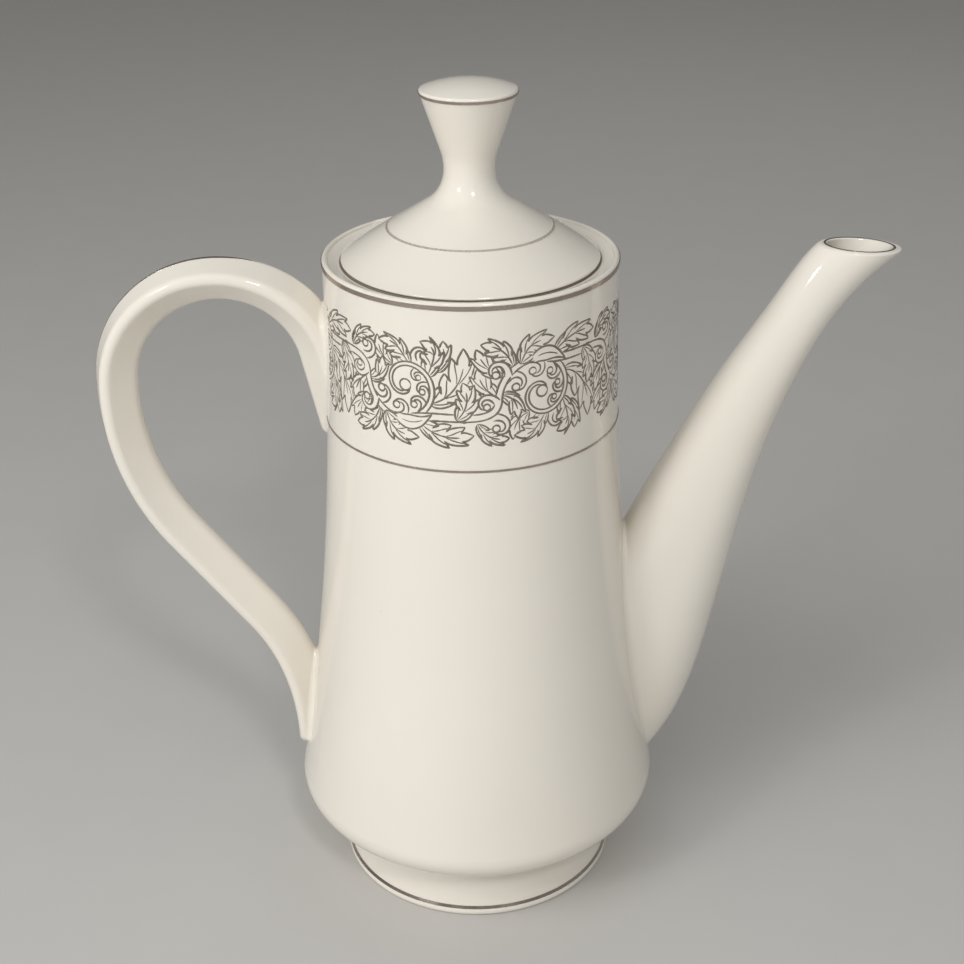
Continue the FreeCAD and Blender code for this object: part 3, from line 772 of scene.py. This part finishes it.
def makeStripe():
    # a thin strip over the rounded outer spine, narrowed to a point at either end
    lean = math.atan2(handle["outerSpine"] - handle["ridgeOut"], handle["halfDepth"])
    middle = handle["outerCurve"] / math.cos(lean) - handle["outerSpine"]
    across = np.linspace(-1, 1, stripe["across"])
    rows = []
    for where in np.linspace(stripe["from"], stripe["to"], stripe["along"]):
        fromEnd = min(where - stripe["from"], stripe["to"] - where)
        share = math.sin(min(fromEnd / stripe["taper"], 1) * math.pi / 2)
        loop = np.concatenate([across, across[::-1], across[:1]])  # over the top and back underneath
        turn = loop * stripe["halfWidth"] * share / handle["outerCurve"]
        lift = np.where(np.arange(len(turn)) < len(across), stripe["proud"], -stripe["sunk"]) * share
        lift[-1] = lift[0]
        reach = handle["outerCurve"] + lift
        inward, deep = middle - reach * np.cos(turn), -reach * np.sin(turn)
        rows.append(handleSkin(np.full_like(turn, where), inward, deep))
    return gridSkin("handlePlatinumStripe", rows)


handleLoop = makeHandle()
dress(handleLoop, "white_porcelain", "pot", "handle")
handlePlatinumStripe = makeStripe()
dress(handlePlatinumStripe, "platinum_lustre", "pot", "handle_platinum_stripe")
print("handle made,", len(handleLoop.data.polygons), "faces")

# scroll frieze
# A traditional leaf scroll, drawn flat in cells that stand upright and upside down in turn.
# Whatever is drawn later covers what lies under it, as on a printed transfer.
frieze = {
    "cell": 43.6,  # length of a cell as drawn
    "cells": (-3, 7),  # first and one past the last, more than go round
    "scale": 0.86,  # mm to one unit of the drawing
    "middle": 177.1,  # mm, height on the neck
    "line": 0.62,  # mm
    "proud": 0.09,  # mm
    "step": 0.35,  # between points along a line as drawn
    "thinned": 2,  # one in so many points is kept
    "handleClear": 12.0,  # mm left free on either side of the handle
    "lineEnd": (0.5, 0.25),  # share of a line's width at its end, and its growth at each point
    "veins": (0.7, 0.8),  # widths of a leaf's side veins and of its middle one, to the outline's
    "scrollMiddle": (22.0, -1.6),
    "scrollTurns": (184.0, -330.0),
    "scrollReach": (1.6, 13.2, 345.0, 560.0, 1.2),  # least, growth, angle at its end, sweep and power
    "scrollEye": ((0.3, 0.2), 1.9),  # from the middle, and radius
    "stem": (2.6, 1.0),  # widths of the stem at its start and at its end
    "branch": (78.0, 12.0, 6.0),  # where on the scroll the next stem leaves it, how far, and its turn
    "branchRise": (0.4, 12.0),
    # degrees on the scroll, length, width and bud
    "innerHooks": [
        (158, 13.0, 2.6, 1.25),
        (108, 11.8, 2.5, 1.2),
        (60, 10.4, 2.3, 1.1),
        (14, 9.4, 2.1, 1.0),
        (-34, 8.2, 1.9, 0.9),
    ],
    "innerTurn": (-12, -255),  # heading from the scroll's own, and turn
    # start, heading, length, turn, width and bud
    "outerHooks": [((11.2, 5.0), 92, 12.5, 262, 2.4, 1.2), ((7.6, -3.2), 128, 10.5, 255, 2.2, 1.1)],
    "stemHook": ((6.2, -8.2), 4, 12.5, -262, 2.4, 1.2),
    "backHooks": [((25.6, -9.4), -112, 9.6, 250, 2.0, 1.0), ((39.6, 8.6), 20, 8.4, -250, 1.9, 0.95)],
    # four corners of the spine's curve, width, teeth and how full each side is
    "backLeaves": [
        ((8.4, -1.5), (5.0, -0.6), (2.4, 2.4), (1.4, 8.0), 6.6, 2, (1.0, 1.0)),
        ((9.5, 5.5), (5.8, 6.8), (3.2, 9.0), (1.2, 14.4), 6.6, 2, (1.0, 1.0)),
        ((18.0, -7.6), (14.8, -8.2), (12.8, -10.6), (12.4, -16.2), 6.4, 2, (1.0, 1.0)),
        ((32.6, -6.6), (34.6, -9.8), (35.4, -13.0), (34.8, -17.0), 5.6, 2, (1.0, 1.0)),
    ],
    "behindLeaves": [
        ((12.8, 7.8), (11.4, 12.4), (8.6, 15.2), (2.6, 15.8), 8.6, 3, (0.9, 0.7)),
        ((1.5, -10.2), (3.0, -14.2), (6.6, -16.2), (11.4, -15.6), 7.6, 3, (0.7, 0.7)),
        ((8.6, -1.0), (12.2, -1.4), (14.4, -3.6), (14.2, -9.4), 6.6, 2, (0.9, 0.8)),
    ],
    "frontLeaves": [
        ((26.6, 10.2), (31.0, 14.6), (37.0, 16.0), (44.0, 14.0), 9.4, 3, (0.75, 0.9)),
        ((38.6, 9.0), (42.0, 5.6), (43.0, 1.6), (40.6, -3.6), 8.4, 3, (0.9, 0.8)),
    ],
    # degrees on the scroll, run and turn to the spine's second corner, its last two, width, teeth, sides
    "scrollBehind": [
        (34, 6, 55, (42.4, -4.0), (41.0, -14.8), 12.0, 3, (0.75, 0.85)),
        (-22, 4, 40, (35.5, -15.0), (27.5, -16.2), 9.6, 3, (0.7, 0.9)),
        (-72, 4, 30, (21.0, -16.5), (12.8, -14.8), 9.0, 3, (0.65, 0.9)),
    ],
    "scrollFront": (124, 5, 40, (17.5, 15.6), (26.8, 15.6), 9.4, 3, (0.8, 0.9)),
    "frontTongue": ((19.6, 9.6), (23.0, 11.6), (27.0, 11.2), (31.0, 7.4), 4.4),
}
# shares of a leaf's length and of its half width
leafShape = {
    "toothed": 0.80,  # length that bears teeth
    "widest": 0.42,  # length at which it is widest
    "narrowing": (1.6, 1.9),  # power and amount by which teeth shrink away from there
    "tip": 0.10,  # length by which a tooth's tip leans ahead
    "hollow": (0.01, 0.40),  # place after a tooth, and half width left there
    "toothRise": (0.03, 0.75, 0.45, 1.08),  # start, fullness (less on the first tooth) and shoulder
    "toothFall": ((0.06, 0.72), (0.02, 0.62)),
    "veinRoots": ((0.02, 0.4), (-0.02, 0.6)),  # place, and distance from the spine
    "veinEnds": ((0.02, 0.5), (0.05, 0.72)),
    "point": ((0.86, 0.26), (0.93, 0.10)),  # corners of the curve that closes the leaf, of its width
}
drawn = []  # lines so far, each with its weight
friezeRadius = sideRadius(frieze["middle"])
cell = {"index": 0, "length": frieze["cell"]}


def toward(degrees):  # a step of one unit
    return np.array([math.cos(math.radians(degrees)), math.sin(math.radians(degrees))])


def placed(path):  # moves a path into the cell at hand
    flip = -1 if cell["index"] % 2 else 1
    return np.array(path) * (1, flip) + (cell["index"] * cell["length"], 0)


def evenly(path):  # points at even steps along it
    run = np.concatenate([[0], np.cumsum(np.linalg.norm(np.diff(path, axis=0), axis=1))])
    at = np.linspace(0, run[-1], max(int(run[-1] / frieze["step"]), 4) + 1)
    return np.stack([np.interp(at, run, path[:, 0]), np.interp(at, run, path[:, 1])], -1)


def within(points, outline):  # which points an outline holds
    (x0, y0), (x1, y1) = outline.T[:, None], np.roll(outline, -1, 0).T[:, None]
    x, y = points[:, :1], points[:, 1:]
    with np.errstate(divide="ignore", invalid="ignore"):
        left = x < (x1 - x0) * (y - y0) / (y1 - y0) + x0
    return (((y0 > y) != (y1 > y)) & left).sum(1) % 2 == 1


def keepWhere(points, weight, keep):  # splits a line into the stretches that are kept
    edges = np.flatnonzero(np.diff(np.concatenate([[0], keep.astype(int), [0]])))
    return [(points[a:b], weight) for a, b in zip(edges[::2], edges[1::2]) if b - a > 2]


def cover(outline):  # wipes away what lies under a shape
    outline = placed(outline)
    low, high = outline.min(0), outline.max(0)
    kept = []
    for points, weight in drawn:
        apart = (points.max(0) < low).any() or (points.min(0) > high).any()
        kept += [(points, weight)] if apart else keepWhere(points, weight, ~within(points, outline))
    drawn[:] = kept


def ink(path, weight=1.0):
    drawn.append((evenly(placed(path)), weight))


def sway(start, heading, length, turn, power, count=60):  # a path that turns more and more
    angle = np.radians(heading + turn * np.linspace(0, 1, count) ** power)
    walk = np.cumsum(np.stack([np.cos(angle), np.sin(angle)], -1) * length / (count - 1), 0)
    return np.array(start) + np.concatenate([[[0, 0]], walk[:-1]])


def bow(a, b, c, d, count=60):  # a curve from a to d, drawn towards b and c
    t = np.linspace(0, 1, count)[:, None]
    a, b, c, d = (np.array(p, float) for p in (a, b, c, d))
    return a * (1 - t) ** 3 + 3 * b * t * (1 - t) ** 2 + 3 * c * t**2 * (1 - t) + d * t**3


def outline(path, half):  # both sides of a stem
    way = unit(np.gradient(path, axis=0))
    side = np.stack([-way[:, 1], way[:, 0]], -1) * half[:, None]
    cover(np.concatenate([path + side, (path - side)[::-1]]))
    ink(path + side)
    ink(path - side)


def bud(centre, radius, count=25):
    ring = centre + radius * np.stack([toward(a) for a in np.linspace(0, 360, count)])
    cover(ring)
    ink(ring)


def hook(start, heading, length, turn, width, budRadius, power=1.45, thinEnd=0.25, budShift=0.55):
    # a tendril that curls up to a round bud
    path = sway(start, heading, length, turn, power)
    outline(path, width / 2 * np.linspace(1, thinEnd, len(path)))
    ending = heading + turn + math.copysign(90, turn)
    bud(path[-1] + toward(ending) * budRadius * budShift, budRadius)


def acanthus(spine, width, teeth, sides):
    # a broad leaf whose sides run out to pointed teeth, each with a hollow before the next
    way = unit(np.gradient(spine, axis=0))
    left = np.stack([-way[:, 1], way[:, 0]], -1)
    last = len(spine) - 1
    toothed = leafShape["toothed"]
    power, amount = leafShape["narrowing"]
    hollowAt, hollowOut = leafShape["hollow"]
    riseAt, fullness, firstFullness, shoulder = leafShape["toothRise"]

    def at(share, out):
        i = int(round(min(max(share, 0), 1) * last))
        return spine[i] + left[i] * out

    edges, veins = [], []
    for side, size in zip((1, -1), sides):
        path = [spine[:1]]
        for tooth in range(teeth):
            first, then = toothed * tooth / teeth, toothed * (tooth + 1) / teeth
            middle = (first + then) / 2
            swell = 1 - abs(middle - leafShape["widest"]) ** power * amount
            reach = side * size * width / 2 * swell
            tip = at(then + leafShape["tip"], reach)
            hollow = at(then + hollowAt, reach * hollowOut)
            full = reach * (fullness if tooth else firstFullness)
            rise = bow(path[-1][-1], at(first + riseAt, full), at(middle, reach * shoulder), tip, 20)
            fall = [at(then + ahead, reach * out) for ahead, out in leafShape["toothFall"]]
            path += [rise[1:], bow(tip, *fall, hollow, 10)[1:]]
            (rootAt, rootOut), (leaveAt, leaveOut) = leafShape["veinRoots"]
            (bendAt, bendOut), (endAt, endOut) = leafShape["veinEnds"]
            root, leave = at(first + rootAt, side * rootOut), at(middle + leaveAt, side * leaveOut)
            bend, end = at(middle + bendAt, reach * bendOut), at(then + endAt, reach * endOut)
            veins.append(bow(root, leave, bend, end, 24))
        (nearAt, nearOut), (farAt, farOut) = leafShape["point"]
        near, far = at(nearAt, side * size * width * nearOut), at(farAt, side * width * farOut)
        path.append(bow(path[-1][-1], near, far, spine[-1], 20)[1:])
        edges.append(np.concatenate(path))
    cover(np.concatenate([edges[0], edges[1][::-1]]))
    sideVein, middleVein = frieze["veins"]
    for edge in edges:
        ink(edge)
    for vein in veins:
        ink(vein, sideVein)
    ink(spine[: int(toothed * last)], middleVein)


def tongue(spine, width, veinEnds=(0.12, 0.75)):
    # a long plain lobe with a pointed, leaning tip
    share = np.linspace(0, 1, len(spine))
    outline(spine, width / 2 * (1 - share**3.0) * (0.55 + 0.6 * np.sin(math.pi * share**0.9)))
    begin, end = (int(len(spine) * place) for place in veinEnds)
    ink(spine[begin:end], frieze["veins"][0])


def scroll(degrees):  # points of the spiral that each stem winds into
    inner, growth, ending, sweep, power = frieze["scrollReach"]
    reach = inner + growth * ((degrees + ending) / sweep) ** power
    angle = np.radians(degrees)
    return np.array(frieze["scrollMiddle"]) + np.stack([np.cos(angle), np.sin(angle)], -1) * reach[:, None]


def onScroll(degrees):  # a point of it and its heading there
    before, here, after = scroll(degrees + np.array([1.0, 0, -1.0]))
    return here, math.degrees(math.atan2(*(after - before)[::-1]))


def scrollLeaf(degrees, run, turn, third, tip, width, teeth, sides):
    # a leaf that grows out of the scroll
    root, way = onScroll(degrees)
    acanthus(bow(root, root + run * toward(way + turn), third, tip), width, teeth, sides)


def plainLeaves(name):
    for *corners, width, teeth, sides in frieze[name]:
        acanthus(bow(*corners), width, teeth, sides)


def drawBehind():
    # leaves and hooks that lie behind the stems
    plainLeaves("backLeaves")
    for sprout in frieze["backHooks"]:
        hook(*sprout)
    for leaf in frieze["scrollBehind"]:
        scrollLeaf(*leaf)
    plainLeaves("behindLeaves")


def drawHooks():
    lean, turn = frieze["innerTurn"]
    for degrees, length, width, budRadius in frieze["innerHooks"]:
        root, way = onScroll(degrees)
        hook(root, way + lean, length, turn, width, budRadius)


def drawStems():
    # each stem leaves the scroll before it and winds into its own
    hook(*frieze["stemHook"])
    start = scroll(np.array(frieze["scrollTurns"][:1]))[0]
    degrees, run, turn = frieze["branch"]
    back, rise = frieze["branchRise"]
    root, way = onScroll(degrees)
    last = cell["length"] + start[0]
    wave = bow(root, root + run * toward(way + turn), (last - back, rise), (last, -start[1]))
    arrive = wave * (1, -1) - (cell["length"], 0)
    path = evenly(np.concatenate([arrive, scroll(np.linspace(*frieze["scrollTurns"], 160))[1:]]))
    outline(path, np.linspace(*frieze["stem"], len(path)) / 2)
    shift, radius = frieze["scrollEye"]
    bud(np.array(frieze["scrollMiddle"]) + shift, radius)


def drawLeaves():
    # leaves and hooks over the stems
    scrollLeaf(*frieze["scrollFront"])
    plainLeaves("frontLeaves")
    *corners, width = frieze["frontTongue"]
    tongue(bow(*corners), width)
    for sprout in frieze["outerHooks"]:
        hook(*sprout)


def drawFrieze():
    # each layer goes all the way round before the one in front of it
    for drawPart in (drawBehind, drawHooks, drawStems, drawLeaves):
        for index in range(*frieze["cells"]):
            cell["index"] = index
            drawPart()
    turn = math.pi * friezeRadius / 2  # a quarter of the way round
    low, high = frieze["handleClear"] - turn, 3 * turn - frieze["handleClear"]
    kept = []
    for points, weight in drawn:
        points = points * frieze["scale"]
        kept += keepWhere(points, weight, (points[:, 0] > low) & (points[:, 0] < high))
    return kept


def makeFrieze():
    # every line is a flattened cord, drawn flat and then laid round the neck
    bpy.ops.object.select_all(action="DESELECT")
    bpy.ops.object.add(type="CURVE")
    piece = bpy.context.object
    piece.name = "scrollFrieze"
    piece.data.dimensions = "3D"
    piece.data.twist_mode = "Z_UP"
    piece.data.bevel_depth = frieze["line"] / 2 * mm
    piece.data.bevel_resolution = 0
    piece.data.use_fill_caps = True
    thin, growth = frieze["lineEnd"]
    for points, weight in drawFrieze():
        points = np.concatenate([points[: -1 : frieze["thinned"]], points[-1:]])
        fromEnd = np.minimum(np.arange(len(points)), np.arange(len(points))[::-1])
        cord = piece.data.splines.new("POLY")
        cord.points.add(len(points) - 1)
        cord.points.foreach_set("co", np.pad(points * mm, ((0, 0), (0, 2))).ravel())
        cord.points.foreach_set("radius", weight * np.clip(thin + growth * fromEnd, 0, 1))
    bpy.ops.object.convert(target="MESH")
    flat = np.empty(len(piece.data.vertices) * 3)
    piece.data.vertices.foreach_get("co", flat)
    x, y, lift = flat.reshape(-1, 3).T / mm
    height = frieze["middle"] + y
    reach = sideRadius(height) + lift * frieze["proud"] / (frieze["line"] / 2)
    angle = x / friezeRadius - math.pi / 2
    wrapped = np.stack([reach * np.cos(angle), reach * np.sin(angle), height], -1) * mm
    piece.data.vertices.foreach_set("co", wrapped.ravel())
    piece.data.update()
    bpy.ops.object.shade_smooth()
    return piece


scrollFrieze = makeFrieze()
dress(scrollFrieze, "scroll_transfer", "pot", "scroll_transfer_band")
print("frieze made,", len(scrollFrieze.data.polygons), "faces")

# floor, backdrop and lights
studio = {
    "pale": "#C9C7C3",
    "shade": "#C5C3BF",
    "fibre": 30.0,  # mm
    "rough": 0.8,
    "floorSize": 6.0,  # m
    "floorMiddle": (0, 1.0, 0),
    "wallHeight": 3.0,
    "world": "#FFFFFF",
    "worldStrength": 0.27,
}


def makeFloor():  # plain pale paper, turned up at its back edge
    bpy.ops.object.select_all(action="DESELECT")
    bpy.ops.mesh.primitive_plane_add(size=studio["floorSize"], location=studio["floorMiddle"])
    floor = bpy.context.object
    floor.name = "studioFloor"
    bpy.ops.object.transform_apply(location=True)
    bpy.ops.object.mode_set(mode="EDIT")
    bpy.ops.mesh.select_all(action="DESELECT")
    bpy.ops.object.mode_set(mode="OBJECT")
    backEdge = max(corner.co.y for corner in floor.data.vertices)
    for edge in floor.data.edges:
        edge.select = min(floor.data.vertices[v].co.y for v in edge.vertices) == backEdge
    bpy.ops.object.mode_set(mode="EDIT")
    bpy.ops.mesh.select_mode(type="EDGE")
    bpy.ops.mesh.extrude_region_move(TRANSFORM_OT_translate={"value": (0, 0, studio["wallHeight"])})
    bpy.ops.object.mode_set(mode="OBJECT")
    material, tree = newMaterial("paperBackdrop")
    place = addNode(tree, "ShaderNodeTexCoord").outputs["Object"]
    fibre = addNode(
        tree, "ShaderNodeTexNoise", {"Vector": place, "Scale": perMetre(studio["fibre"]), "Detail": 4.0}
    )
    tone = addNode(
        tree,
        "ShaderNodeMix",
        {"Factor": fibre.outputs["Fac"], 6: linear(studio["pale"]), 7: linear(studio["shade"])},
        data_type="RGBA",
    )
    shader = addNode(
        tree, "ShaderNodeBsdfPrincipled", {"Base Color": tone.outputs[2], "Roughness": studio["rough"]}
    )
    addNode(tree, "ShaderNodeOutputMaterial", {"Surface": shader.outputs["BSDF"]})
    floor.data.materials.append(material)


makeFloor()

# places and sizes in metres; the two small lamps give the glaze its highlights
lamps = {
    "leftKey": {"place": (-0.62, -0.62, 0.62), "aim": (0, 0, 0.12), "size": 0.13, "power": 1.1},
    "rightKey": {"place": (0.20, -0.86, 0.90), "aim": (0, 0, 0.12), "size": 0.13, "power": 2.3},
    "topLeft": {"place": (-0.62, -0.62, 1.05), "aim": (0, 0, 0.12), "size": 0.6, "power": 3.9, "soft": True},
    "topFront": {"place": (-0.1, -0.75, 1.1), "aim": (0, 0, 0.12), "size": 0.6, "power": 2.2, "soft": True},
    "lowLeft": {"place": (-0.95, -0.45, 0.2), "aim": (0, 0, 0.08), "size": 0.8, "power": 2.2, "soft": True},
    "lowFront": {"place": (-0.6, -0.9, 0.15), "aim": (0, 0, 0.08), "size": 0.8, "power": 1.7, "soft": True},
    "lowRight": {"place": (0.5, -1.0, 0.15), "aim": (0, 0, 0.08), "size": 0.8, "power": 1.1, "soft": True},
    "backLamp": {"place": (0.3, 0.9, 0.9), "aim": (0, 0, 0.15), "size": 0.8, "power": 0.6, "soft": True},
}
for name, lamp in lamps.items():
    bpy.ops.object.light_add(type="AREA", location=lamp["place"])
    light = bpy.context.object
    light.name = name
    light.data.size = lamp["size"]
    light.data.energy = lamp["power"]
    light.visible_glossy = "soft" not in lamp  # soft lamps leave no mirror image on the glaze
    toAim = Vector(lamp["aim"]) - light.location
    light.rotation_euler = toAim.to_track_quat("-Z", "Y").to_euler()

world = bpy.data.worlds.new("studioWorld")
bpy.context.scene.world = world
world.use_nodes = True
world.node_tree.nodes["Background"].inputs["Color"].default_value = linear(studio["world"])
world.node_tree.nodes["Background"].inputs["Strength"].default_value = studio["worldStrength"]
bpy.context.scene.view_settings.view_transform = "Standard"
print("studio made")
